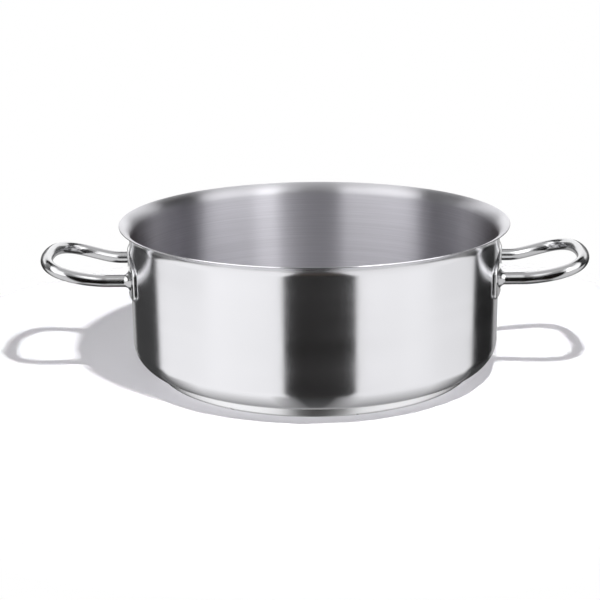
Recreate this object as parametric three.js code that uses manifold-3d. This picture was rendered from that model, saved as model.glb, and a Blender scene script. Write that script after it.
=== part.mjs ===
// A stainless stewpot: a wide, low pot with a flared rim, a sandwich base and two tubular loop handles.
// Millimetres, +Z up. The origin is the centre of the underside, and the handles lie along X.

import * as THREE from 'three';
import { mergeVertices } from 'three/addons/utils/BufferGeometryUtils.js';
import Module from 'manifold-3d';

// Shell: one drawn sheet, with the arcs measured on its outside
const INNER_DIAMETER = 360;
const SHELL_SHEET = 1;
const POT_HEIGHT = 147.6;
const FLOOR_CORNER_RADIUS = 22;
const FLARE_RADIUS = 11.4;
const FLARE_ANGLE = 80;

// Sandwich base: an aluminium disc brazed between the shell's floor and a steel cap
const CORE_THICKNESS = 8.4;
const BRAZE_THICKNESS = 0.2;
const CAP_SHEET = 0.8;
const CAP_EDGE_RADIUS = 2.6;
const CAP_INSET = 1.2;

// Handle tube: straight legs, then one sweep out, up and round to the grip
const TUBE_DIAMETER = 12;
const TUBE_WALL = 1.2;
const LEG_SPACING = 92.6;
const LEG_STRAIGHT = 18;
const LEG_PULL = 21;
const GRIP_PULL = 72;
const HANDLE_REACH = 81.8;
const HANDLE_RISE = 14.9;
const HANDLE_DROP = 49.5;

// Foot: the trumpet-shaped neck between the plate and the end of a leg
const FOOT_FLARE = 4.7;
const FOOT_NECK = 1.8;

// Handle plate: flat at the bottom and arched at the top, bent round the wall
const PLATE_THICKNESS = 2.2;
const PLATE_SIDE_MARGIN = 9.5;
const PLATE_LOWER_MARGIN = 6.5;
const PLATE_SHOULDER = 7.5;
const PLATE_CROWN = 18;
const PLATE_CORNER_RADIUS = 7;

// Spot welds: nuggets in the back of the plate, three across and two high
const WELD_DIAMETER = 5;
const WELD_DEPTH = 0.9;
const WELD_EDGE_DISTANCE = 9;
const WELD_END_DISTANCE = 16;

// Clearance between pieces that lie against each other on curved faces
const SEAT_GAP = 0.3;

// Facets
const TURN_SEGMENTS = 72;
const ARC_STEPS = 5;
const EDGE_STEPS = 3;
const TUBE_SIDES = 12;
const TUBE_STEPS = 36;
const FOOT_SIDES = 16;
const FOOT_STEPS = 4;
const PLATE_COLUMNS = 12;
const WELD_SIDES = 8;

// Sizes that follow from the ones above
const innerRadius = INNER_DIAMETER / 2;
const wallRadius = innerRadius + SHELL_SHEET;
const flatRadius = wallRadius - FLOOR_CORNER_RADIUS;
const flareAngle = THREE.MathUtils.degToRad(FLARE_ANGLE);

const coreBottom = CAP_SHEET + BRAZE_THICKNESS;
const coreTop = coreBottom + CORE_THICKNESS;
const floorBottom = coreTop + BRAZE_THICKNESS;
const capRadius = flatRadius - CAP_INSET;
const capInnerRadius = capRadius - CAP_SHEET;
const coreRadius = capInnerRadius - SEAT_GAP;
const flareStart = POT_HEIGHT - (FLARE_RADIUS + SHELL_SHEET) * Math.sin(flareAngle);

const plateInnerRadius = wallRadius + SEAT_GAP;
const plateOuterRadius = plateInnerRadius + PLATE_THICKNESS;
const footSeatRadius = plateOuterRadius + SEAT_GAP;
const tubeRadius = TUBE_DIAMETER / 2;
const footRadius = tubeRadius + FOOT_FLARE;
const legOffset = LEG_SPACING / 2;
const legHeight = POT_HEIGHT - HANDLE_DROP;
const legStart = footSeatAt(legOffset - footRadius) + FOOT_NECK;
const plateHalfWidth = legOffset + footRadius + PLATE_SIDE_MARGIN;
const plateBottom = legHeight - footRadius - PLATE_LOWER_MARGIN;
const plateShoulder = legHeight + PLATE_SHOULDER;

const polishedSteel = new THREE.MeshStandardMaterial({ color: 0xdcdcde, roughness: 0.1, metalness: 1 });
const brushedSteel = new THREE.MeshStandardMaterial({ color: 0xc6c6ca, roughness: 0.3, metalness: 1 });
const weldedSteel = new THREE.MeshStandardMaterial({ color: 0xa9a9ad, roughness: 0.5, metalness: 1 });
const aluminium = new THREE.MeshStandardMaterial({ color: 0xd0d2d4, roughness: 0.45, metalness: 1 });
const brazeAlloy = new THREE.MeshStandardMaterial({ color: 0xb8b4a6, roughness: 0.6, metalness: 1 });

// The distance from the pot's axis, along X, of the surface that a foot sits on at a given y
function footSeatAt(y) {
  return Math.sqrt(footSeatRadius ** 2 - y ** 2);
}

// Points of an arc in the (radius, height) plane, from one angle to another
function arc(centreRadius, centreHeight, radius, fromAngle, toAngle, steps) {
  const points = [];
  for (let i = 0; i <= steps; i++) {
    const angle = fromAngle + (toAngle - fromAngle) * i / steps;
    points.push(new THREE.Vector2(
      centreRadius + radius * Math.cos(angle),
      centreHeight + radius * Math.sin(angle),
    ));
  }
  return points;
}

// A profile of (radius, height) points turned about the pot's axis
function turned(profile) {
  return new THREE.LatheGeometry(profile, TURN_SEGMENTS).rotateX(Math.PI / 2);
}

// A flat disc from one height to another
function disc(radius, bottom, top) {
  return turned([
    new THREE.Vector2(0, bottom),
    new THREE.Vector2(radius, bottom),
    new THREE.Vector2(radius, top),
    new THREE.Vector2(0, top),
  ]);
}

// Drawn shell: floor, corner, straight wall and curved pouring flare, outside up and inside down
function shellGeometry() {
  const cornerHeight = floorBottom + FLOOR_CORNER_RADIUS;
  const flareCentre = wallRadius + FLARE_RADIUS;
  const flareEnd = Math.PI - flareAngle;
  return turned([
    new THREE.Vector2(0, floorBottom),
    ...arc(flatRadius, cornerHeight, FLOOR_CORNER_RADIUS, -Math.PI / 2, 0, ARC_STEPS),
    ...arc(flareCentre, flareStart, FLARE_RADIUS, Math.PI, flareEnd, ARC_STEPS),
    ...arc(flareCentre, flareStart, FLARE_RADIUS + SHELL_SHEET, flareEnd, Math.PI, ARC_STEPS),
    ...arc(flatRadius, cornerHeight, FLOOR_CORNER_RADIUS - SHELL_SHEET, 0, -Math.PI / 2, ARC_STEPS),
    new THREE.Vector2(0, floorBottom + SHELL_SHEET),
  ]);
}

// Cap: a shallow steel pan pressed up round the disc, with a rounded lower edge
function capGeometry() {
  const edgeCentre = capRadius - CAP_EDGE_RADIUS;
  const capTop = floorBottom - SEAT_GAP;
  return turned([
    new THREE.Vector2(0, 0),
    ...arc(edgeCentre, CAP_EDGE_RADIUS, CAP_EDGE_RADIUS, -Math.PI / 2, 0, EDGE_STEPS),
    new THREE.Vector2(capRadius, capTop),
    new THREE.Vector2(capInnerRadius, capTop),
    ...arc(edgeCentre, CAP_EDGE_RADIUS, CAP_EDGE_RADIUS - CAP_SHEET, 0, -Math.PI / 2, EDGE_STEPS),
    new THREE.Vector2(0, CAP_SHEET),
  ]);
}

// Core: the disc, with its lower edge rounded to lie in the cap's rounded edge
function coreGeometry() {
  const edgeRadius = CAP_EDGE_RADIUS - CAP_SHEET;
  return turned([
    new THREE.Vector2(0, coreBottom),
    ...arc(coreRadius - edgeRadius, coreBottom + edgeRadius, edgeRadius, -Math.PI / 2, 0, EDGE_STEPS),
    new THREE.Vector2(coreRadius, coreTop),
    new THREE.Vector2(0, coreTop),
  ]);
}

// Plate: columns side by side along the wall, each with a lower and an upper end, on both faces
function plateGeometry() {
  const positions = [];
  const faces = [];
  const cornerStart = plateHalfWidth - PLATE_CORNER_RADIUS;
  for (let i = -PLATE_COLUMNS; i <= PLATE_COLUMNS; i++) {
    const share = Math.sin(Math.PI / 2 * i / PLATE_COLUMNS);
    const along = plateHalfWidth * share;
    const intoCorner = Math.max(0, Math.abs(along) - cornerStart);
    const cornerDrop = Math.sqrt(Math.max(0, PLATE_CORNER_RADIUS ** 2 - intoCorner ** 2));
    const low = plateBottom + PLATE_CORNER_RADIUS - cornerDrop;
    const high = plateShoulder + PLATE_CROWN * Math.sqrt(1 - share ** 2);
    const angle = along / wallRadius;
    for (const [radius, height] of [
      [plateInnerRadius, low],
      [plateOuterRadius, low],
      [plateOuterRadius, high],
      [plateInnerRadius, high],
    ]) {
      positions.push(radius * Math.cos(angle), radius * Math.sin(angle), height);
    }
  }
  const last = 2 * PLATE_COLUMNS;
  for (let column = 0; column < last; column++) {
    for (let side = 0; side < 4; side++) {
      const a = 4 * column + side;
      const b = 4 * column + (side + 1) % 4;
      faces.push(a, a + 4, b, b, a + 4, b + 4);
    }
  }
  faces.push(0, 1, 2, 0, 2, 3);
  faces.push(4 * last, 4 * last + 2, 4 * last + 1, 4 * last, 4 * last + 3, 4 * last + 2);
  const geometry = new THREE.BufferGeometry();
  geometry.setAttribute('position', new THREE.Float32BufferAttribute(positions, 3));
  geometry.setIndex(faces);
  return geometry;
}

// Places of the spot welds on a plate, as (distance along the wall, height)
function weldPlaces() {
  const end = plateHalfWidth - WELD_END_DISTANCE;
  const places = [];
  for (const height of [plateBottom + WELD_EDGE_DISTANCE, plateShoulder]) {
    for (const along of [-end, 0, end]) {
      places.push({ along, height });
    }
  }
  return places;
}

// A round plug lying along the wall's outward direction, from one radius to another
function radialPlug(diameter, fromRadius, toRadius, place) {
  const length = toRadius - fromRadius;
  return new THREE.CylinderGeometry(diameter / 2, diameter / 2, length, WELD_SIDES)
    .rotateZ(-Math.PI / 2)
    .translate(fromRadius + length / 2, 0, place.height)
    .rotateZ(place.along / wallRadius);
}

// A weld nugget, standing on the wall inside its pocket in the plate
function weldGeometry(place) {
  return radialPlug(WELD_DIAMETER, plateInnerRadius, plateInnerRadius + WELD_DEPTH, place);
}

// The pocket that a nugget fills, open towards the wall
function weldPocketGeometry(place) {
  const floor = plateInnerRadius + WELD_DEPTH + SEAT_GAP;
  return radialPlug(WELD_DIAMETER + 2 * SEAT_GAP, wallRadius - SEAT_GAP, floor, place);
}

// Foot: rings from the curved plate out to the flat seam with the tube, flaring towards the plate
function footGeometry(legY) {
  const positions = [];
  const faces = [];
  for (let ring = 0; ring <= FOOT_STEPS; ring++) {
    const out = ring / FOOT_STEPS;
    const radius = tubeRadius + FOOT_FLARE * (1 - out) ** 2;
    for (let i = 0; i < FOOT_SIDES; i++) {
      const angle = 2 * Math.PI * i / FOOT_SIDES;
      const seatX = footSeatAt(legY + footRadius * Math.cos(angle));
      positions.push(
        seatX + (legStart - seatX) * out,
        legY + radius * Math.cos(angle),
        legHeight + radius * Math.sin(angle),
      );
    }
  }
  for (let ring = 0; ring < FOOT_STEPS; ring++) {
    for (let i = 0; i < FOOT_SIDES; i++) {
      const a = ring * FOOT_SIDES + i;
      const b = ring * FOOT_SIDES + (i + 1) % FOOT_SIDES;
      faces.push(a, b, a + FOOT_SIDES, b, b + FOOT_SIDES, a + FOOT_SIDES);
    }
  }
  const seatCentre = positions.length / 3;
  positions.push(footSeatAt(legY), legY, legHeight);
  const seamCentre = seatCentre + 1;
  positions.push(legStart, legY, legHeight);
  const lastRing = FOOT_STEPS * FOOT_SIDES;
  for (let i = 0; i < FOOT_SIDES; i++) {
    const next = (i + 1) % FOOT_SIDES;
    faces.push(seatCentre, next, i, seamCentre, lastRing + i, lastRing + next);
  }
  const geometry = new THREE.BufferGeometry();
  geometry.setAttribute('position', new THREE.Float32BufferAttribute(positions, 3));
  geometry.setIndex(faces);
  return geometry;
}

// Tube: a round hollow section swept along a straight leg, the sweep to the grip, and back
function tubeGeometry() {
  const legEnd = wallRadius + LEG_STRAIGHT;
  const gripX = wallRadius + HANDLE_REACH;
  const gripHeight = legHeight + HANDLE_RISE;
  const grip = new THREE.Vector3(gripX, 0, gripHeight);
  const leg = (x, side) => new THREE.Vector3(x, side * legOffset, legHeight);
  const pull = (side) => new THREE.Vector3(gripX, side * GRIP_PULL, gripHeight);
  const path = new THREE.CurvePath();
  path.add(new THREE.LineCurve3(leg(legStart, -1), leg(legEnd, -1)));
  path.add(new THREE.CubicBezierCurve3(leg(legEnd, -1), leg(legEnd + LEG_PULL, -1), pull(-1), grip));
  path.add(new THREE.CubicBezierCurve3(grip, pull(1), leg(legEnd + LEG_PULL, 1), leg(legEnd, 1)));
  path.add(new THREE.LineCurve3(leg(legEnd, 1), leg(legStart, 1)));

  const section = new THREE.Shape().absarc(0, 0, tubeRadius, 0, 2 * Math.PI, false);
  section.holes.push(new THREE.Path().absarc(0, 0, tubeRadius - TUBE_WALL, 0, 2 * Math.PI, true));
  return new THREE.ExtrudeGeometry(section, {
    steps: TUBE_STEPS,
    curveSegments: TUBE_SIDES / 2,
    extrudePath: path,
  });
}

const wasm = await Module();
wasm.setup();

// A closed geometry as a solid that can be cut
function solid(geometry) {
  const bare = geometry.clone();
  bare.deleteAttribute('normal');
  bare.deleteAttribute('uv');
  const merged = mergeVertices(bare);
  return new wasm.Manifold(new wasm.Mesh({
    numProp: 3,
    vertProperties: new Float32Array(merged.attributes.position.array),
    triVerts: new Uint32Array(merged.index.array),
  }));
}

// The geometry that is left when the cutters are taken out of a closed geometry
function cut(geometry, cutters) {
  const result = cutters.reduce((left, cutter) => left.subtract(solid(cutter)), solid(geometry)).getMesh();
  const remaining = new THREE.BufferGeometry();
  remaining.setAttribute('position', new THREE.BufferAttribute(result.vertProperties, 3));
  remaining.setIndex(new THREE.BufferAttribute(result.triVerts, 1));
  return remaining;
}

function piece(name, geometry, material) {
  const mesh = new THREE.Mesh(geometry, material);
  mesh.name = name;
  return mesh;
}

// One handle, made for the +X side: plate, welds, feet and tube
function handle(side, footNames) {
  const group = new THREE.Group();
  const places = weldPlaces();
  const plate = cut(plateGeometry(), places.map(weldPocketGeometry));
  group.add(piece(`${side}_handle_plate`, plate, polishedSteel));
  places.forEach((place, i) => {
    group.add(piece(`${side}_spot_weld_${i + 1}`, weldGeometry(place), weldedSteel));
  });
  group.add(piece(`${side}_${footNames[0]}`, footGeometry(-legOffset), polishedSteel));
  group.add(piece(`${side}_${footNames[1]}`, footGeometry(legOffset), polishedSteel));
  group.add(piece(`${side}_handle_tube`, tubeGeometry(), polishedSteel));
  return group;
}

const stewpot = new THREE.Group();
stewpot.add(piece('pot_shell', shellGeometry(), brushedSteel));
stewpot.add(piece('upper_braze_film', disc(coreRadius, coreTop, floorBottom), brazeAlloy));
stewpot.add(piece('base_core', coreGeometry(), aluminium));
stewpot.add(piece('lower_braze_film', disc(capRadius - CAP_EDGE_RADIUS, CAP_SHEET, coreBottom), brazeAlloy));
stewpot.add(piece('base_cap', capGeometry(), polishedSteel));

stewpot.add(handle('right', ['front_foot', 'rear_foot']));
const leftHandle = handle('left', ['rear_foot', 'front_foot']);
leftHandle.rotation.z = Math.PI;
stewpot.add(leftHandle);

export default stewpot;
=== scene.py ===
# Stewpot in stainless steel: a wide, low pot with a flared rim, a sandwich base and two loop handles.
# Metres, +Z up. The origin is the centre of the underside, and the photographer stands on the -Y side.

import math

import bmesh
import bpy
from mathutils import Matrix, Vector


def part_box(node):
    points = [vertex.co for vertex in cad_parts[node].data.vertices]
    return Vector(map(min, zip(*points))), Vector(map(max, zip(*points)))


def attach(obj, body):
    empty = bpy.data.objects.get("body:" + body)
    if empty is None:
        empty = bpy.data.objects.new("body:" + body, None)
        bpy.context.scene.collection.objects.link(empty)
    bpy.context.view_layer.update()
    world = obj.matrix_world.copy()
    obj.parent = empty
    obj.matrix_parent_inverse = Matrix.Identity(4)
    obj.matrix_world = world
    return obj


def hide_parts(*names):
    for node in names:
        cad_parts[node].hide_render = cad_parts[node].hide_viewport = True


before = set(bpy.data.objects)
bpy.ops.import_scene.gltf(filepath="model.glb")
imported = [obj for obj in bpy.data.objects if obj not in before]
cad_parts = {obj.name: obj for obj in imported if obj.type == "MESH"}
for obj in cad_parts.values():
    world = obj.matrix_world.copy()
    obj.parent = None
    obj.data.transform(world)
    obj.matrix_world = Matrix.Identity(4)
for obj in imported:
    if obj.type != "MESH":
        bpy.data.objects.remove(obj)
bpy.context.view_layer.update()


# Pot shell
# The bowl is deep drawn from one disc of stainless sheet, and its mouth is rolled outwards for pouring.
# The wall is brushed round the axis, finely outside and more coarsely inside.

SHELL_SHEET = 0.001
FLOOR_CORNER_RADIUS = 0.022
FLARE_RADIUS = 0.0114
FLARE_ANGLE = 80
RIM_EDGE_RADIUS = 0.0003
CORNER_STEPS = 28
FLARE_STEPS = 24
RIM_EDGE_STEPS = 5
WALL_ROWS = 8
FLOOR_ROWS = 6
TURN_SEGMENTS = 320
SUPPORT_DISTANCE = 0.0004
WELD_DISTANCE = 0.000002
SHARP_ANGLE = 35

shell_low, shell_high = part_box("pot_shell")
rim_radius = shell_high.x
rim_height = shell_high.z
floor_bottom = shell_low.z
wall_radius = rim_radius - FLARE_RADIUS * (1 - math.cos(math.radians(FLARE_ANGLE)))
flat_radius = wall_radius - FLOOR_CORNER_RADIUS
flare_start = rim_height - (FLARE_RADIUS + SHELL_SHEET) * math.sin(math.radians(FLARE_ANGLE))


def arc(centre, radius, start, end, steps):
    """Points of an arc in the (radius, height) plane, from one angle to another in degrees."""
    points = []
    for step in range(steps + 1):
        angle = math.radians(start + (end - start) * step / steps)
        points.append(Vector((centre[0] + radius * math.cos(angle), centre[1] + radius * math.sin(angle))))
    return points


def straight(start, end, rows):
    """Points between two ends, with a row close to each end that keeps smooth shading flat between them."""
    start, end = Vector(start), Vector(end)
    inset = SUPPORT_DISTANCE / (end - start).length
    shares = [inset] + [row / rows for row in range(1, rows)] + [1 - inset]
    return [start.lerp(end, share) for share in shares]


def rim_edge():
    """The cut edge of the sheet at the end of the flare, with both of its corners rounded."""
    centre = Vector((wall_radius + FLARE_RADIUS, flare_start))
    turn = math.radians(180 - FLARE_ANGLE)
    across = Vector((math.cos(turn), math.sin(turn)))
    along = Vector((across.y, -across.x))
    corners = (
        (FLARE_RADIUS + RIM_EDGE_RADIUS, -90, 0),
        (FLARE_RADIUS + SHELL_SHEET - RIM_EDGE_RADIUS, 0, 90),
    )
    points = []
    for side, start, end in corners:
        for local in arc((0, 0), RIM_EDGE_RADIUS, start, end, RIM_EDGE_STEPS):
            points.append(centre + across * (side + local.y) + along * (local.x - RIM_EDGE_RADIUS))
    return points


def shell_section():
    """Half of the shell's section, outside from the axis up to the rim and inside back to the axis."""
    corner = (flat_radius, floor_bottom + FLOOR_CORNER_RADIUS)
    flare = (wall_radius + FLARE_RADIUS, flare_start)
    flare_end = 180 - FLARE_ANGLE
    outer_corner = arc(corner, FLOOR_CORNER_RADIUS, -90, 0, CORNER_STEPS)
    outer_flare = arc(flare, FLARE_RADIUS, 180, flare_end, FLARE_STEPS)[:-1]
    inner_flare = arc(flare, FLARE_RADIUS + SHELL_SHEET, flare_end, 180, FLARE_STEPS)[1:]
    inner_corner = arc(corner, FLOOR_CORNER_RADIUS - SHELL_SHEET, 0, -90, CORNER_STEPS)
    outer_pole = Vector((0, floor_bottom))
    inner_pole = Vector((0, floor_bottom + SHELL_SHEET))
    return [
        outer_pole, *straight(outer_pole, outer_corner[0], FLOOR_ROWS), *outer_corner,
        *straight(outer_corner[-1], outer_flare[0], WALL_ROWS), *outer_flare,
        *rim_edge(),
        *inner_flare, *straight(inner_flare[-1], inner_corner[0], WALL_ROWS),
        *inner_corner, *straight(inner_corner[-1], inner_pole, FLOOR_ROWS), inner_pole,
    ]


def new_tree(name, inputs):
    """An empty Geometry Nodes tree with its input and output nodes and the identifiers of its inputs."""
    tree = bpy.data.node_groups.new(name, "GeometryNodeTree")
    identifiers = {}
    for label, kind in inputs.items():
        identifiers[label] = tree.interface.new_socket(label, in_out="INPUT", socket_type=kind).identifier
    tree.interface.new_socket("Geometry", in_out="OUTPUT", socket_type="NodeSocketGeometry")
    return tree, tree.nodes.new("NodeGroupInput"), tree.nodes.new("NodeGroupOutput"), identifiers


def finish_tree(tree, entry, leave, source):
    """Ends a tree: smooth faces, realised instances and the finish that was asked for."""
    smooth = tree.nodes.new("GeometryNodeSetShadeSmooth")
    realise = tree.nodes.new("GeometryNodeRealizeInstances")
    finish = tree.nodes.new("GeometryNodeSetMaterial")
    tree.links.new(source, smooth.inputs["Geometry"])
    tree.links.new(smooth.outputs["Geometry"], realise.inputs["Geometry"])
    tree.links.new(realise.outputs["Geometry"], finish.inputs["Geometry"])
    tree.links.new(entry.outputs["Finish"], finish.inputs["Material"])
    tree.links.new(finish.outputs["Geometry"], leave.inputs["Geometry"])


def grow(name, tree, identifiers, values):
    """A plain mesh piece from a Geometry Nodes tree and the values of its inputs."""
    piece = bpy.data.objects.new(name, bpy.data.meshes.new(name))
    bpy.context.scene.collection.objects.link(piece)
    modifier = piece.modifiers.new("shape", "NODES")
    modifier.node_group = tree
    for label, value in values.items():
        modifier[identifiers[label]] = value
    evaluated = piece.evaluated_get(bpy.context.evaluated_depsgraph_get())
    mesh = bpy.data.meshes.new_from_object(evaluated)
    piece.modifiers.clear()
    piece.data = mesh
    mesh.name = name
    face_outwards(mesh)
    return piece


def face_outwards(mesh):
    """Turns the faces of a closed mesh outwards and keeps only its real corners sharp."""
    shape = bmesh.new()
    shape.from_mesh(mesh)
    bmesh.ops.recalc_face_normals(shape, faces=shape.faces)
    shape.to_mesh(mesh)
    shape.free()
    mesh.set_sharp_from_angle(angle=math.radians(SHARP_ANGLE))


# Sweeps a section once round the axis and welds the points that meet on it
turning, turning_in, turning_out, turning_inputs = new_tree("turned_sheet", {
    "Section": "NodeSocketObject",
    "Axis Distance": "NodeSocketFloat",
    "Segments": "NodeSocketInt",
    "Weld Distance": "NodeSocketFloat",
    "Finish": "NodeSocketMaterial",
})
section_curve = turning.nodes.new("GeometryNodeObjectInfo")
round_path = turning.nodes.new("GeometryNodeCurvePrimitiveCircle")
sweep = turning.nodes.new("GeometryNodeCurveToMesh")
weld = turning.nodes.new("GeometryNodeMergeByDistance")
turning.links.new(turning_in.outputs["Section"], section_curve.inputs["Object"])
turning.links.new(turning_in.outputs["Axis Distance"], round_path.inputs["Radius"])
turning.links.new(turning_in.outputs["Segments"], round_path.inputs["Resolution"])
turning.links.new(round_path.outputs["Curve"], sweep.inputs["Curve"])
turning.links.new(section_curve.outputs["Geometry"], sweep.inputs["Profile Curve"])
turning.links.new(sweep.outputs["Mesh"], weld.inputs["Geometry"])
turning.links.new(turning_in.outputs["Weld Distance"], weld.inputs["Distance"])
finish_tree(turning, turning_in, turning_out, weld.outputs["Geometry"])


def curve_object(name, kind, count):
    """A curve object with one spline of the given kind and number of points."""
    data = bpy.data.curves.new(name, "CURVE")
    data.dimensions = "3D"
    spline = data.splines.new(kind)
    points = spline.bezier_points if kind == "BEZIER" else spline.points
    points.add(count - 1)
    piece = bpy.data.objects.new(name, data)
    bpy.context.scene.collection.objects.link(piece)
    return piece, points


def turned(name, section, finish):
    """A piece turned about the pot's axis from half of its section."""
    axis_distance = max(point.x for point in section) / 2
    drawing, points = curve_object(name + "_section", "POLY", len(section))
    for point, place in zip(points, section):
        point.co = (place.x - axis_distance, -place.y, 0, 1)
    piece = grow(name, turning, turning_inputs, {
        "Section": drawing,
        "Axis Distance": axis_distance,
        "Segments": TURN_SEGMENTS,
        "Weld Distance": WELD_DISTANCE,
        "Finish": finish,
    })
    bpy.data.objects.remove(drawing)
    return piece


def shader_group(name, inputs, outputs):
    """An empty shader group with named sockets, and its input and output nodes."""
    group = bpy.data.node_groups.new(name, "ShaderNodeTree")
    for label, default in inputs.items():
        socket = group.interface.new_socket(label, in_out="INPUT", socket_type="NodeSocketFloat")
        socket.default_value = default
    for label in outputs:
        group.interface.new_socket(label, in_out="OUTPUT", socket_type="NodeSocketFloat")
    return group, group.nodes.new("NodeGroupInput"), group.nodes.new("NodeGroupOutput")


def add(tree, kind, **settings):
    """A node of a kind; settings named with a capital set its inputs, and the others its properties."""
    node = tree.nodes.new(kind)
    for label, value in settings.items():
        if label[0].isupper():
            node.inputs[label.replace("_", " ")].default_value = value
        else:
            setattr(node, label, value)
    return node


BAND_STRETCH = (0.5, 0.5, 0.02)
NOISE_RANGE = (0.25, 0.75)
BUMP_HEIGHT = 0.0002
QUARTER_TURN = 0.25

# Brushing round the axis: lines that run round the pot on the wall and in rings on its floor
brushing, brushing_in, brushing_out = shader_group(
    "brushing_round_axis", {"Lines per Metre": 2000, "Waves per Metre": 6}, ("Lines", "Bands"))
place = add(brushing, "ShaderNodeTexCoord")
split = add(brushing, "ShaderNodeSeparateXYZ")
flat = add(brushing, "ShaderNodeCombineXYZ")
from_axis = add(brushing, "ShaderNodeVectorMath", operation="LENGTH")
up_the_wall = add(brushing, "ShaderNodeMath", operation="ADD")
line_place = add(brushing, "ShaderNodeMath", operation="MULTIPLY")
round_place = add(brushing, "ShaderNodeVectorMath", operation="SCALE")
split_round = add(brushing, "ShaderNodeSeparateXYZ")
stretched = add(brushing, "ShaderNodeCombineXYZ")
lines = add(brushing, "ShaderNodeTexNoise", Scale=1, Detail=4, Roughness=0.7)
band_place = add(brushing, "ShaderNodeVectorMath", operation="MULTIPLY")
band_place.inputs[1].default_value = BAND_STRETCH
bands = add(brushing, "ShaderNodeTexNoise", Scale=1, Detail=2)
for source, target in (
    (place.outputs["Object"], split.inputs[0]),
    (split.outputs["X"], flat.inputs["X"]),
    (split.outputs["Y"], flat.inputs["Y"]),
    (flat.outputs[0], from_axis.inputs[0]),
    (from_axis.outputs["Value"], up_the_wall.inputs[0]),
    (split.outputs["Z"], up_the_wall.inputs[1]),
    (up_the_wall.outputs[0], line_place.inputs[0]),
    (brushing_in.outputs["Lines per Metre"], line_place.inputs[1]),
    (flat.outputs[0], round_place.inputs[0]),
    (brushing_in.outputs["Waves per Metre"], round_place.inputs["Scale"]),
    (round_place.outputs[0], split_round.inputs[0]),
    (split_round.outputs["X"], stretched.inputs["X"]),
    (split_round.outputs["Y"], stretched.inputs["Y"]),
    (line_place.outputs[0], stretched.inputs["Z"]),
    (stretched.outputs[0], lines.inputs["Vector"]),
    (stretched.outputs[0], band_place.inputs[0]),
    (band_place.outputs[0], bands.inputs["Vector"]),
    (lines.outputs["Fac"], brushing_out.inputs["Lines"]),
    (bands.outputs["Fac"], brushing_out.inputs["Bands"]),
):
    brushing.links.new(source, target)


def blank_material(name):
    """A material with only a Principled shader and its output."""
    material = bpy.data.materials.new(name)
    material.use_nodes = True
    return material, material.node_tree, material.node_tree.nodes["Principled BSDF"]


def group_node(tree, group, **values):
    """A shader group placed in a material with its own values."""
    node = tree.nodes.new("ShaderNodeGroup")
    node.node_tree = group
    for label, value in values.items():
        node.inputs[label.replace("_", " ")].default_value = value
    return node


def spread(tree, source, low, high):
    """A value of the surface, stretched from the usual range of noise to the range between two numbers."""
    usual_low, usual_high = NOISE_RANGE
    node = add(tree, "ShaderNodeMapRange", From_Min=usual_low, From_Max=usual_high, To_Min=low, To_Max=high)
    tree.links.new(source, node.inputs["Value"])
    return node.outputs["Result"]


def tint(tree, source, dark, light):
    """A colour between two greys of the same metal, following a value of the surface."""
    node = add(tree, "ShaderNodeMix", data_type="RGBA")
    node.inputs["A"].default_value = (*dark, 1)
    node.inputs["B"].default_value = (*light, 1)
    tree.links.new(source, node.inputs["Factor"])
    return node.outputs["Result"]


def brushed_steel(name, dark, light, roughness, stretch, lines_per_metre, depth):
    """Steel brushed round the axis: lines that tint it, break its gloss and draw reflections upright."""
    material, tree, steel = blank_material(name)
    brush = group_node(tree, brushing, Lines_per_Metre=lines_per_metre)
    grain = add(tree, "ShaderNodeTangent", direction_type="RADIAL", axis="Z")
    bump = add(tree, "ShaderNodeBump", Strength=depth, Distance=BUMP_HEIGHT)
    steel.inputs["Metallic"].default_value = 1
    steel.inputs["Anisotropic"].default_value = stretch
    steel.inputs["Anisotropic Rotation"].default_value = QUARTER_TURN
    tree.links.new(tint(tree, brush.outputs["Lines"], dark, light), steel.inputs["Base Color"])
    tree.links.new(spread(tree, brush.outputs["Bands"], *roughness), steel.inputs["Roughness"])
    tree.links.new(brush.outputs["Lines"], bump.inputs["Height"])
    tree.links.new(bump.outputs["Normal"], steel.inputs["Normal"])
    tree.links.new(grain.outputs["Tangent"], steel.inputs["Tangent"])
    return material


satin_outside = brushed_steel(
    "satin_steel_outside", dark=(0.80, 0.798, 0.825), light=(0.85, 0.848, 0.875),
    roughness=(0.165, 0.215), stretch=0.85, lines_per_metre=2600, depth=0.02)
brushed_inside = brushed_steel(
    "brushed_steel_inside", dark=(0.50, 0.493, 0.525), light=(0.74, 0.731, 0.775),
    roughness=(0.38, 0.42), stretch=1, lines_per_metre=650, depth=0.08)

# The coarse brushing inside mirrors less, and browner, along the surface than towards it. The flare is
# buffed, and mirrors evenly.
BUFFED_BLEND = 0.006
BUFFED_COLOUR = (0.66, 0.655, 0.685, 1)
BRUSHED_EDGE_TINT = (0.12, 0.08, 0.08, 1)
BUFFED_EDGE_TINT = (1, 1, 1, 1)

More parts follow.
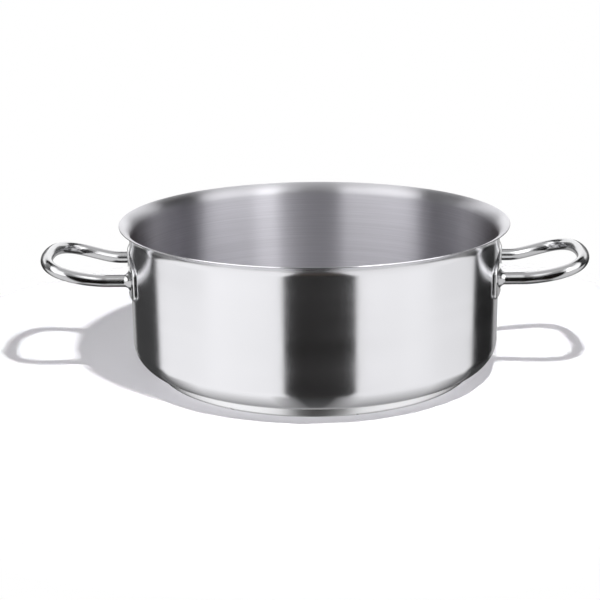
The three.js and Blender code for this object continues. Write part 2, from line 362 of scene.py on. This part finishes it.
inside_tree = brushed_inside.node_tree
inside_steel = inside_tree.nodes["Principled BSDF"]
height_place = add(inside_tree, "ShaderNodeTexCoord")
height_split = add(inside_tree, "ShaderNodeSeparateXYZ")
buffed = add(inside_tree, "ShaderNodeMapRange", interpolation_type="SMOOTHSTEP",
             From_Min=flare_start - BUFFED_BLEND, From_Max=flare_start + BUFFED_BLEND)
buffed_tint = add(inside_tree, "ShaderNodeMix", data_type="RGBA")
buffed_edge = add(inside_tree, "ShaderNodeMix", data_type="RGBA")
buffed_tint.inputs["B"].default_value = BUFFED_COLOUR
buffed_edge.inputs["A"].default_value = BRUSHED_EDGE_TINT
buffed_edge.inputs["B"].default_value = BUFFED_EDGE_TINT
for source, target in (
    (height_place.outputs["Object"], height_split.inputs[0]),
    (height_split.outputs["Z"], buffed.inputs["Value"]),
    (buffed.outputs["Result"], buffed_tint.inputs["Factor"]),
    (inside_steel.inputs["Base Color"].links[0].from_socket, buffed_tint.inputs["A"]),
    (buffed_tint.outputs["Result"], inside_steel.inputs["Base Color"]),
    (buffed.outputs["Result"], buffed_edge.inputs["Factor"]),
    (buffed_edge.outputs["Result"], inside_steel.inputs["Specular Tint"]),
):
    inside_tree.links.new(source, target)

pot_shell = turned("shell_drawn", shell_section(), satin_outside)
pot_shell.data.materials.append(brushed_inside)
# The inside is made of the faces that look up or towards the axis
for face in pot_shell.data.polygons:
    outwards = face.normal.to_2d().dot(face.center.to_2d().normalized())
    face.material_index = 1 if face.normal.z > outwards else 0
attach(pot_shell, "root")
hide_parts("pot_shell")


# Sandwich base
# A thick aluminium disc is brazed under the floor to spread the heat, and a polished steel cap is pressed
# up round it. The disc and the films of braze are closed in, and only the cap shows.

CAP_SHEET = 0.0008
CAP_EDGE_RADIUS = 0.0026
CAP_LIP_RADIUS = 0.0003
CAP_OUTER_STEPS = 14
CAP_INNER_STEPS = 10
CAP_LIP_STEPS = 5
CAP_WALL_ROWS = 2
CAP_OUTER_ROWS = 6
CAP_INNER_ROWS = 4

cap_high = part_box("base_cap")[1]
cap_radius = cap_high.x
cap_top = cap_high.z

# Marks of handling: soft smudges, and fine specks where the polish is broken
handling, handling_in, handling_out = shader_group(
    "handling_marks", {"Smudges per Metre": 25, "Specks per Metre": 900}, ("Smudge", "Speck"))
touch_place = add(handling, "ShaderNodeTexCoord")
smudges = add(handling, "ShaderNodeTexNoise", Detail=3, Roughness=0.55, Distortion=0.6)
specks = add(handling, "ShaderNodeTexNoise", Detail=1)
for source, target in (
    (touch_place.outputs["Object"], smudges.inputs["Vector"]),
    (touch_place.outputs["Object"], specks.inputs["Vector"]),
    (handling_in.outputs["Smudges per Metre"], smudges.inputs["Scale"]),
    (handling_in.outputs["Specks per Metre"], specks.inputs["Scale"]),
    (smudges.outputs["Fac"], handling_out.inputs["Smudge"]),
    (specks.outputs["Fac"], handling_out.inputs["Speck"]),
):
    handling.links.new(source, target)


def polished_steel(name, dark, light, roughness):
    """Mirror-polished steel, a little duller where it is smudged."""
    material, tree, steel = blank_material(name)
    marks = group_node(tree, handling)
    steel.inputs["Metallic"].default_value = 1
    tree.links.new(tint(tree, marks.outputs["Speck"], dark, light), steel.inputs["Base Color"])
    tree.links.new(spread(tree, marks.outputs["Smudge"], *roughness), steel.inputs["Roughness"])
    return material


def dull_metal(name, dark, light, roughness, specks_per_metre, depth):
    """Unpolished metal that stays inside: blotchy, with a fine rough skin."""
    material, tree, metal = blank_material(name)
    marks = group_node(tree, handling, Specks_per_Metre=specks_per_metre)
    bump = add(tree, "ShaderNodeBump", Strength=depth, Distance=BUMP_HEIGHT)
    metal.inputs["Metallic"].default_value = 1
    tree.links.new(tint(tree, marks.outputs["Smudge"], dark, light), metal.inputs["Base Color"])
    tree.links.new(spread(tree, marks.outputs["Speck"], *roughness), metal.inputs["Roughness"])
    tree.links.new(marks.outputs["Speck"], bump.inputs["Height"])
    tree.links.new(bump.outputs["Normal"], metal.inputs["Normal"])
    return material


def give_finish(node, material):
    """Puts a material on a solid that stays in the picture as it is."""
    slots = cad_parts[node].data.materials
    slots.clear()
    slots.append(material)


def cap_section():
    """Half of the cap's section: flat underside, rounded lower edge, upright wall and rounded lip."""
    edge = (cap_radius - CAP_EDGE_RADIUS, CAP_EDGE_RADIUS)
    outer_edge = arc(edge, CAP_EDGE_RADIUS, -90, 0, CAP_OUTER_STEPS)
    inner_edge = arc(edge, CAP_EDGE_RADIUS - CAP_SHEET, 0, -90, CAP_INNER_STEPS)
    lip_low = cap_top - CAP_LIP_RADIUS
    outer_lip_centre = (cap_radius - CAP_LIP_RADIUS, lip_low)
    inner_lip_centre = (cap_radius - CAP_SHEET + CAP_LIP_RADIUS, lip_low)
    outer_lip = arc(outer_lip_centre, CAP_LIP_RADIUS, 0, 90, CAP_LIP_STEPS)
    inner_lip = arc(inner_lip_centre, CAP_LIP_RADIUS, 90, 180, CAP_LIP_STEPS)
    outer_pole = Vector((0, 0))
    inner_pole = Vector((0, CAP_SHEET))
    return [
        outer_pole, *straight(outer_pole, outer_edge[0], CAP_OUTER_ROWS), *outer_edge,
        *straight(outer_edge[-1], outer_lip[0], CAP_WALL_ROWS), *outer_lip, *inner_lip,
        *inner_edge, *straight(inner_edge[-1], inner_pole, CAP_INNER_ROWS), inner_pole,
    ]


cap_steel = polished_steel(
    "polished_steel_cap", dark=(0.88, 0.878, 0.895), light=(0.94, 0.938, 0.955), roughness=(0.26, 0.32))
base_cap = turned("base_cap_pressed", cap_section(), cap_steel)
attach(base_cap, "root")
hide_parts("base_cap")

rolled_aluminium = dull_metal(
    "rolled_aluminium", dark=(0.66, 0.67, 0.68), light=(0.80, 0.81, 0.82),
    roughness=(0.35, 0.5), specks_per_metre=700, depth=0.1)
braze = dull_metal(
    "braze_alloy", dark=(0.46, 0.44, 0.39), light=(0.62, 0.60, 0.54),
    roughness=(0.5, 0.7), specks_per_metre=400, depth=0.3)
give_finish("base_core", rolled_aluminium)
give_finish("upper_braze_film", braze)
give_finish("lower_braze_film", braze)


# Handle plates
# Each handle stands on a stamped steel plate, flat below and arched above, that is bent to the wall and
# spot welded to it from behind. Its front edge is rounded and polished with the handle.

PLATE_THICKNESS = 0.0022
PLATE_CROWN = 0.018
PLATE_CORNER_RADIUS = 0.007
PLATE_EDGE_RADIUS = 0.0014
PLATE_COLUMNS = 96
PLATE_ROWS = 24
PLATE_EDGE_STEPS = 6
SIDES = {"right": 0, "left": 180}

plate_low, plate_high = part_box("right_handle_plate")
plate_front = plate_high.x
plate_back = plate_front - PLATE_THICKNESS
plate_half_width = wall_radius * math.asin(plate_high.y / plate_front)
plate_shoulder = plate_high.z - PLATE_CROWN


def plate_point(across, up, inset, depth):
    """A point of the plate, drawn in from its outline by an inset and at a depth from its back."""
    half_width = plate_half_width - inset
    corner = PLATE_CORNER_RADIUS - inset
    along = half_width * across
    into_corner = max(0, abs(along) - (half_width - corner))
    low = plate_low.z + inset + corner - math.sqrt(max(0, corner ** 2 - into_corner ** 2))
    high = plate_shoulder + (PLATE_CROWN - inset) * math.sqrt(max(0, 1 - across ** 2))
    radius = plate_back + depth
    angle = along / wall_radius
    return Vector((radius * math.cos(angle), radius * math.sin(angle), low + (high - low) * up))


def plate_mesh(name):
    """A front and a back face of columns and rows, joined by rings over the rounded edge."""
    shape = bmesh.new()
    columns = [math.sin(math.pi / 2 * (2 * i / PLATE_COLUMNS - 1)) for i in range(PLATE_COLUMNS + 1)]
    rows = [j / PLATE_ROWS for j in range(PLATE_ROWS + 1)]
    outline = [(i, 0) for i in range(PLATE_COLUMNS)]
    outline += [(PLATE_COLUMNS, j) for j in range(PLATE_ROWS)]
    outline += [(i, PLATE_ROWS) for i in range(PLATE_COLUMNS, 0, -1)]
    outline += [(0, j) for j in range(PLATE_ROWS, 0, -1)]

    def face_grid(inset, depth):
        return [[shape.verts.new(plate_point(a, u, inset, depth)) for u in rows] for a in columns]

    def fill(grid, flip):
        for i in range(PLATE_COLUMNS):
            for j in range(PLATE_ROWS):
                corners = [grid[i][j], grid[i + 1][j], grid[i + 1][j + 1], grid[i][j + 1]]
                shape.faces.new(corners[::-1] if flip else corners)

    front = face_grid(PLATE_EDGE_RADIUS, PLATE_THICKNESS)
    back = face_grid(0, 0)
    fill(front, flip=False)
    fill(back, flip=True)
    rings = [[back[i][j] for i, j in outline]]
    for step in range(PLATE_EDGE_STEPS):
        angle = math.pi / 2 * step / PLATE_EDGE_STEPS
        inset = PLATE_EDGE_RADIUS * (1 - math.cos(angle))
        depth = PLATE_THICKNESS - PLATE_EDGE_RADIUS * (1 - math.sin(angle))
        rings.append([shape.verts.new(plate_point(columns[i], rows[j], inset, depth)) for i, j in outline])
    rings.append([front[i][j] for i, j in outline])
    join_rings(shape, rings)
    return smooth_mesh(shape, name)


def join_rings(shape, rings):
    """Faces between each ring of points and the next one."""
    for lower, upper in zip(rings, rings[1:]):
        for at in range(len(lower)):
            after = (at + 1) % len(lower)
            shape.faces.new((lower[at], lower[after], upper[after], upper[at]))


def drawn_mesh(shape, name):
    """A mesh of the shape that was drawn."""
    mesh = bpy.data.meshes.new(name)
    shape.to_mesh(mesh)
    shape.free()
    return mesh


def smooth_mesh(shape, name):
    """A mesh of the shape that was drawn, with smooth faces that point outwards."""
    mesh = drawn_mesh(shape, name)
    mesh.shade_smooth()
    face_outwards(mesh)
    return mesh


def handle_piece(mesh, side, node, material):
    """Places a piece of a handle on its side of the pot, in the place of its solid."""
    mesh.transform(Matrix.Rotation(math.radians(SIDES[side]), 4, "Z"))
    mesh.materials.clear()
    mesh.materials.append(material)
    piece = bpy.data.objects.new(node + "_polished", mesh)
    bpy.context.scene.collection.objects.link(piece)
    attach(piece, "root")
    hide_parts(node)


plate_steel = polished_steel(
    "polished_steel_plate", dark=(0.74, 0.74, 0.75), light=(0.80, 0.80, 0.81), roughness=(0.10, 0.18))
for side in SIDES:
    node = side + "_handle_plate"
    handle_piece(plate_mesh(node), side, node, plate_steel)


# Spot welds
# Six nuggets fuse each plate with the wall. They lie behind the plate, blued a little by the heat.

weld_steel = dull_metal(
    "weld_steel", dark=(0.34, 0.34, 0.38), light=(0.50, 0.48, 0.46),
    roughness=(0.4, 0.6), specks_per_metre=1200, depth=0.3)
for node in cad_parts:
    if "_spot_weld_" in node:
        give_finish(node, weld_steel)


# Handle feet
# A trumpet-shaped neck at each end of a tube spreads out to the plate and is welded to it all round.
# It is ground and polished in one with the tube, with only a fine seam left between them.

TUBE_RADIUS = 0.006
LEG_SPACING = 0.0926
HANDLE_DROP = 0.0495
FOOT_FLARE = 0.0047
FOOT_SINK = 0.0004
FOOT_SIDES = 72
FOOT_STEPS = 20

leg_offset = LEG_SPACING / 2
leg_height = rim_height - HANDLE_DROP
leg_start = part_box("right_handle_tube")[0].x
foot_radius = TUBE_RADIUS + FOOT_FLARE


def foot_mesh(name, leg_y):
    """Rings from the bent plate out to the flat seam with the tube, wider towards the plate."""
    shape = bmesh.new()
    rings = []
    for step in range(FOOT_STEPS + 1):
        out = step / FOOT_STEPS
        radius = TUBE_RADIUS + FOOT_FLARE * (1 - out) ** 2
        ring = []
        for i in range(FOOT_SIDES):
            angle = 2 * math.pi * i / FOOT_SIDES
            seat_y = leg_y + foot_radius * math.cos(angle)
            seat_x = math.sqrt(plate_front ** 2 - seat_y ** 2) - FOOT_SINK
            x = seat_x + (leg_start - seat_x) * out
            y = leg_y + radius * math.cos(angle)
            z = leg_height + radius * math.sin(angle)
            ring.append(shape.verts.new((x, y, z)))
        rings.append(ring)
    join_rings(shape, rings)
    shape.faces.new(rings[0][::-1])
    shape.faces.new(rings[-1])
    return smooth_mesh(shape, name)


tube_steel = polished_steel(
    "polished_steel_tube", dark=(0.52, 0.52, 0.53), light=(0.58, 0.58, 0.59), roughness=(0.13, 0.18))
# The left handle is the right one turned half round, so its front foot is drawn at the rear
for side, near, far in (("right", "front", "rear"), ("left", "rear", "front")):
    for which, leg_y in ((near, -leg_offset), (far, leg_offset)):
        node = f"{side}_{which}_foot"
        handle_piece(foot_mesh(node, leg_y), side, node, tube_steel)


# Handle tubes
# A round tube runs straight out of one foot, sweeps out and up to the grip, and comes back to the other
# foot. It is bent in one piece and polished to a mirror.

LEG_STRAIGHT = 0.018
LEG_PULL = 0.021
GRIP_PULL = 0.072
HANDLE_REACH = 0.0818
HANDLE_RISE = 0.0149
TUBE_SIDES = 48
TUBE_STEPS = 240
PATH_STEPS = 64

leg_end = wall_radius + LEG_STRAIGHT
grip_x = wall_radius + HANDLE_REACH
grip_height = leg_height + HANDLE_RISE

# Sweeps a round section along a bent path and closes its ends
bending, bending_in, bending_out, bending_inputs = new_tree("bent_tube", {
    "Path": "NodeSocketObject",
    "Steps": "NodeSocketInt",
    "Tube Radius": "NodeSocketFloat",
    "Sides": "NodeSocketInt",
    "Finish": "NodeSocketMaterial",
})
bent_path = bending.nodes.new("GeometryNodeObjectInfo")
even_steps = bending.nodes.new("GeometryNodeResampleCurve")
tube_section = bending.nodes.new("GeometryNodeCurvePrimitiveCircle")
tube_sweep = bending.nodes.new("GeometryNodeCurveToMesh")
tube_sweep.inputs["Fill Caps"].default_value = True
bending.links.new(bending_in.outputs["Path"], bent_path.inputs["Object"])
bending.links.new(bent_path.outputs["Geometry"], even_steps.inputs["Curve"])
bending.links.new(bending_in.outputs["Steps"], even_steps.inputs["Count"])
bending.links.new(bending_in.outputs["Tube Radius"], tube_section.inputs["Radius"])
bending.links.new(bending_in.outputs["Sides"], tube_section.inputs["Resolution"])
bending.links.new(even_steps.outputs["Curve"], tube_sweep.inputs["Curve"])
bending.links.new(tube_section.outputs["Curve"], tube_sweep.inputs["Profile Curve"])
finish_tree(bending, bending_in, bending_out, tube_sweep.outputs["Mesh"])


def tube_path():
    """The middle line of the tube: a leg, the sweep to the grip, the sweep back and the other leg."""
    path, points = curve_object("tube_path", "BEZIER", 5)
    path.data.resolution_u = PATH_STEPS
    leg_third = (leg_end - leg_start) / 3
    stations = (
        (leg_start, -leg_offset, leg_height, (-leg_third, 0, 0), (leg_third, 0, 0)),
        (leg_end, -leg_offset, leg_height, (-leg_third, 0, 0), (LEG_PULL, 0, 0)),
        (grip_x, 0, grip_height, (0, -GRIP_PULL, 0), (0, GRIP_PULL, 0)),
        (leg_end, leg_offset, leg_height, (LEG_PULL, 0, 0), (-leg_third, 0, 0)),
        (leg_start, leg_offset, leg_height, (leg_third, 0, 0), (-leg_third, 0, 0)),
    )
    for point, (x, y, z, before, after) in zip(points, stations):
        point.handle_left_type = point.handle_right_type = "FREE"
        point.co = (x, y, z)
        point.handle_left = point.co + Vector(before)
        point.handle_right = point.co + Vector(after)
    return path


for side in SIDES:
    path = tube_path()
    node = side + "_handle_tube"
    tube = grow(node + "_bent", bending, bending_inputs, {
        "Path": path,
        "Steps": TUBE_STEPS,
        "Tube Radius": TUBE_RADIUS,
        "Sides": TUBE_SIDES,
        "Finish": tube_steel,
    })
    tube_mesh = tube.data.copy()
    bpy.data.objects.remove(tube)
    bpy.data.objects.remove(path)
    handle_piece(tube_mesh, side, node, tube_steel)


# Table
# A plain pale surface that keeps the pot's shadow and fades into the white background. The steel mirrors
# the studio's cards in its place.

TABLE_RADIUS = 1.6
TABLE_SIDES = 96
TABLE_FADE = (0.36, 0.5)
TABLE_DROP = 0.0003
TABLE_COLOUR = (0.95, 0.94, 0.98, 1)


def stage_object(name, mesh, material, seen_by):
    """A thing of the studio, seen only by the kinds of ray that are named."""
    mesh.materials.append(material)
    thing = bpy.data.objects.new(name, mesh)
    bpy.context.scene.collection.objects.link(thing)
    for kind in ("camera", "diffuse", "glossy", "transmission", "volume_scatter", "shadow"):
        setattr(thing, "visible_" + kind, kind in seen_by)


table_material, table_tree, table_paint = blank_material("pale_table")
table_paint.inputs["Base Color"].default_value = TABLE_COLOUR
table_paint.inputs["Roughness"].default_value = 1
table_paint.inputs["Specular IOR Level"].default_value = 0
table_place = add(table_tree, "ShaderNodeTexCoord")
table_distance = add(table_tree, "ShaderNodeVectorMath", operation="LENGTH")
table_fade = add(table_tree, "ShaderNodeMapRange", interpolation_type="SMOOTHSTEP",
                 From_Min=TABLE_FADE[0], From_Max=TABLE_FADE[1], To_Min=1, To_Max=0)
table_tree.links.new(table_place.outputs["Object"], table_distance.inputs[0])
table_tree.links.new(table_distance.outputs["Value"], table_fade.inputs["Value"])
table_tree.links.new(table_fade.outputs["Result"], table_paint.inputs["Alpha"])

table_top = bmesh.new()
bmesh.ops.create_circle(table_top, cap_ends=True, segments=TABLE_SIDES, radius=TABLE_RADIUS)
bmesh.ops.translate(table_top, vec=(0, 0, -TABLE_DROP), verts=table_top.verts)
stage_object("table", drawn_mesh(table_top, "table"), table_material, ("camera", "diffuse", "shadow"))


# Studio
# The pot stands in an even white surround. White, grey and dark cards round it give the steel its bands.
# One lamp above, in front and to the right throws the shadow, and a weak one without a shadow lightens it.

LAMP_PLACE = (0.17, -0.48, 0.96)
LAMP_AIM = (0, 0, 0.05)
LAMP_SIZE = 0.08
LAMP_POWER = 9
FILL_POWER = 0.95
SHADE_LIGHT = 0.17

CARD_DISTANCE = 6
CARD_SPACING = 0.02
CARD_STEPS = 40

# Each card: the bearings between which it stands, from the photographer towards +X, the elevations of its
# lower and upper edge, its brightness at both ends of the lower and of the upper edge, and how far its
# upper edge leans over, in degrees of bearing. A later card stands in front of an earlier one.
CARDS = {
    "floor_card": ((-180, 180), (-90, -75), (0.38, 0.38, 0.45, 0.45), 0),
    "ceiling_card": ((-180, 180), (60, 90), (0.7, 0.7, 0.7, 0.7), 0),
    "right_softbox": ((-15, 70), (5, 60), (2.1, 2.1, 1.55, 1.55), 42),
    "right_softbox_near": ((25, 42), (5, 60), (3.2, 3.2, 3.2, 3.2), 0),
    "right_card_near": ((25, 60), (-25, 5), (0.86, 0.97, 0.86, 0.97), 0),
    "right_card_far": ((60, 112), (-25, 5), (0.97, 0.88, 0.97, 0.88), 0),
    "right_card_lower": ((25, 112), (-75, -25), (0.8, 0.8, 0.97, 0.97), 0),
    "left_softbox": ((-64, 20), (5, 60), (2.2, 2.2, 1.7, 1.7), -40),
    "left_card_near": ((-60, -20), (-25, 5), (1.02, 0.93, 1.02, 0.93), 0),
    "left_card_far": ((-110, -60), (-25, 5), (1, 1.02, 1, 1.02), 0),
    "left_card_lower": ((-110, -20), (-75, -25), (0.95, 0.95, 1.05, 1.05), 0),
    "front_card": ((-18.5, 24.5), (-33, 25), (0.003, 0.003, 0.003, 0.003), 0),
    "front_card_floor": ((-17, 23), (-90, -33), (0.14, 0.14, 0.003, 0.003), 0),
    "front_card_upper": ((-20, 6), (25, 60), (0.45, 0.25, 0.6, 0.5), 0),
    "front_card_side": ((6, 25), (25, 60), (0.3, 1.8, 0.5, 2), 0),
    "rear_card": ((146, 210), (-45, -3), (0.45, 0.45, 0.45, 0.45), 0),
    "rear_card_lower": ((112, 250), (-75, -45), (0.4, 0.4, 0.42, 0.42), 0),
    "rear_card_floor": ((150, 210), (-90, -72), (0.15, 0.15, 0.15, 0.15), 0),
    "rear_card_upper": ((100, 260), (-3, 18), (0.03, 0.03, 0.3, 0.35), 0),
    "rear_card_middle": ((165, 195), (-3, 18), (1.2, 1.2, 1.4, 1.4), 0),
    "rear_card_top": ((105, 255), (18, 60), (1.25, 1.55, 1, 1), 0),
    "right_screen_rear": ((105, 168), (34, 60), (0.02, 0.02, 0.02, 0.02), 0),
    "left_screen_rear": ((192, 255), (34, 60), (0.02, 0.02, 0.02, 0.02), 0),
    "left_top_softbox": ((-105, -60), (50, 68), (1.9, 1.9, 1.9, 1.9), 0),
    "right_screen": ((112, 146), (-27, -3), (0.016, 0.016, 0.016, 0.016), 0),
    "right_screen_lower": ((112, 146), (-45, -27), (0.4, 0.4, 0.016, 0.016), 0),
    "right_screen_upper": ((70, 110), (-3, 50), (0.01, 0.06, 0.03, 0.15), 30),
    "left_screen": ((-150, -110), (-27, -3), (0.048, 0.048, 0.048, 0.048), 0),
    "left_screen_lower": ((-150, -110), (-45, -27), (0.4, 0.4, 0.048, 0.048), 0),
    "left_screen_upper": ((-102, -64), (-3, 50), (0.25, 0.03, 0.6, 0.08), -28),
}

BROWN_CARDS = ("front_card", "front_card_floor")
BROWN_COLOUR = (1.2, 0.96, 0.8)
WHITE_COLOUR = (1, 1, 1)

# The low cards at the sides are grey near the pot and lighter further out: a painted shadow of the table
# round the base, which the corner and the cap mirror.
# Cards that lie low round the base: bearings, distances from the axis, brightness, lean and height
LOW_CARDS = {
    "front_card_low": ((-20, 21), (0.14, 0.27), (0.11, 0.11, 0.015, 0.015), 0, -0.051),
    "right_card_low_near": ((3, 14), (0.14, 0.27), (0.16, 0.3, 0.06, 0.95), 6, -0.05),
    "right_card_low": ((14, 48), (0.14, 0.27), (0.3, 0.3, 0.95, 0.95), 6, -0.05),
    "right_card_low_far": ((48, 76), (0.14, 0.27), (0.3, 0.05, 0.95, 0.05), 6, -0.05),
    "left_card_low_near": ((-13, -2), (0.14, 0.27), (0.3, 0.16, 0.95, 0.06), -6, -0.05),
    "left_card_low": ((-48, -13), (0.14, 0.27), (0.34, 0.34, 1.08, 1.08), -6, -0.05),
    "left_card_low_far": ((-76, -48), (0.14, 0.27), (0.05, 0.34, 0.05, 1.08), -6, -0.05),
    "rear_card_low": ((82, 278), (0.14, 0.27), (0.05, 0.05, 0.05, 0.05), 0, -0.05),
}

# A small white card between the legs of each handle lightens the rear leg and the plate
LEG_CARD_REACH = (0.184, 0.212)
LEG_CARD_HEIGHT = (0.068, 0.094)
LEG_CARD_Y = 0.022
LEG_CARD_LIGHT = 1


def card_mesh(name, bearings, spans, brightness, lean, place):
    """A card bent round the pot between two bearings and two spans, whose points hold its brightness."""
    shape = bmesh.new()
    bmesh.ops.create_grid(shape, x_segments=CARD_STEPS, y_segments=CARD_STEPS, size=0.5)
    level = shape.verts.layers.float.new("brightness")
    for point in shape.verts:
        across, up = point.co.x + 0.5, point.co.y + 0.5
        bearing = bearings[0] + (bearings[1] - bearings[0]) * across + lean * up
        point.co = place(math.radians(bearing), spans[0] + (spans[1] - spans[0]) * up)
        lower = brightness[0] + (brightness[1] - brightness[0]) * across
        upper = brightness[2] + (brightness[3] - brightness[2]) * across
        point[level] = lower + (upper - lower) * up
    return drawn_mesh(shape, name)


def far_place(distance):
    """Gives the places at one distance from the pot, by bearing and elevation."""
    def place(bearing, elevation):
        reach = distance * math.cos(math.radians(elevation))
        height = distance * math.sin(math.radians(elevation))
        return reach * math.sin(bearing), -reach * math.cos(bearing), height
    return place


def low_place(height):
    """Gives the places at one height, by bearing and distance from the axis."""
    def place(bearing, reach):
        return reach * math.sin(bearing), -reach * math.cos(bearing), height
    return place


def card_paper(name, colour):
    """Paper of one colour, as bright as the points of its card say."""
    paper, tree, shader = blank_material(name)
    shader.inputs["Base Color"].default_value = (0, 0, 0, 1)
    shader.inputs["Specular IOR Level"].default_value = 0
    shader.inputs["Emission Color"].default_value = (*colour, 1)
    level = add(tree, "ShaderNodeAttribute", attribute_name="brightness")
    tree.links.new(level.outputs["Fac"], shader.inputs["Emission Strength"])
    return paper


white_paper = card_paper("white_paper", WHITE_COLOUR)
brown_paper = card_paper("brown_paper", BROWN_COLOUR)
for order, (name, bounds) in enumerate(CARDS.items()):
    paper = brown_paper if name in BROWN_CARDS else white_paper
    mesh = card_mesh(name, *bounds, far_place(CARD_DISTANCE - CARD_SPACING * order))
    stage_object(name, mesh, paper, ("glossy",))
for name, (*bounds, height) in LOW_CARDS.items():
    stage_object(name, card_mesh(name, *bounds, low_place(height)), white_paper, ("glossy",))
for side, facing in (("right", 1), ("left", -1)):
    name = side + "_leg_card"
    near, far = (facing * reach for reach in LEG_CARD_REACH)
    low, high = LEG_CARD_HEIGHT
    corners = [(x, LEG_CARD_Y, z) for x, z in ((near, low), (far, low), (far, high), (near, high))]
    leg_card = bpy.data.meshes.new(name)
    leg_card.from_pydata(corners, [], [(0, 1, 2, 3)])
    level = leg_card.attributes.new("brightness", "FLOAT", "POINT")
    level.data.foreach_set("value", [LEG_CARD_LIGHT] * len(corners))
    stage_object(name, leg_card, white_paper, ("glossy",))

lamp_data = bpy.data.lights.new("studio_lamp", "AREA")
lamp_data.shape = "DISK"
lamp_data.size = LAMP_SIZE
lamp_data.energy = LAMP_POWER
lamp_data.use_nodes = True
lamp_light = lamp_data.node_tree.nodes["Emission"]
even_light = add(lamp_data.node_tree, "ShaderNodeLightFalloff", Strength=1)
lamp_data.node_tree.links.new(even_light.outputs["Constant"], lamp_light.inputs["Strength"])
lamp = bpy.data.objects.new("studio_lamp", lamp_data)
lamp.location = LAMP_PLACE
lamp.rotation_euler = (Vector(LAMP_AIM) - lamp.location).to_track_quat("-Z", "Y").to_euler()
lamp.visible_glossy = False
lamp.visible_camera = False
bpy.context.scene.collection.objects.link(lamp)

fill_data = bpy.data.lights.new("fill_lamp", "SUN")
fill_data.energy = FILL_POWER
fill_data.use_shadow = False
fill = bpy.data.objects.new("fill_lamp", fill_data)
fill.visible_glossy = False
bpy.context.scene.collection.objects.link(fill)

world = bpy.data.worlds.new("white_surround")
bpy.context.scene.world = world
world.use_nodes = True
surround = world.node_tree
sky = surround.nodes["Background"]
sky.inputs["Color"].default_value = (1, 1, 1, 1)
ray = add(surround, "ShaderNodeLightPath")
camera_or_mirror = add(surround, "ShaderNodeMath", operation="MAXIMUM")
seen_directly = add(surround, "ShaderNodeMath", operation="MAXIMUM")
brightness = add(surround, "ShaderNodeMapRange", To_Min=SHADE_LIGHT, To_Max=1)
surround.links.new(ray.outputs["Is Camera Ray"], camera_or_mirror.inputs[0])
surround.links.new(ray.outputs["Is Glossy Ray"], camera_or_mirror.inputs[1])
surround.links.new(camera_or_mirror.outputs[0], seen_directly.inputs[0])
surround.links.new(ray.outputs["Is Transmission Ray"], seen_directly.inputs[1])
surround.links.new(seen_directly.outputs[0], brightness.inputs["Value"])
surround.links.new(brightness.outputs["Result"], sky.inputs["Strength"])


# Camera
# A long lens a little above the rim, looking down on the pot, turned and rolled by a fraction of a degree.

CAMERA_PLACE = (0, -1.2376, 0.4218)
CAMERA_TILT = 73.89
CAMERA_TURN = 0.675
CAMERA_ROLL = -0.569
CAMERA_SENSOR = 36
PICTURE_WIDTH = 600
FOCAL_PIXELS = 1288

camera_data = bpy.data.cameras.new("camera")
camera_data.sensor_width = CAMERA_SENSOR
camera_data.lens = CAMERA_SENSOR * FOCAL_PIXELS / PICTURE_WIDTH
camera = bpy.data.objects.new("camera", camera_data)
camera.matrix_world = (
    Matrix.Translation(CAMERA_PLACE)
    @ Matrix.Rotation(math.radians(CAMERA_TURN), 4, "Z")
    @ Matrix.Rotation(math.radians(CAMERA_TILT), 4, "X")
    @ Matrix.Rotation(math.radians(CAMERA_ROLL), 4, "Z")
)
bpy.context.scene.collection.objects.link(camera)
bpy.context.scene.camera = camera
bpy.context.scene.view_settings.view_transform = "Standard"
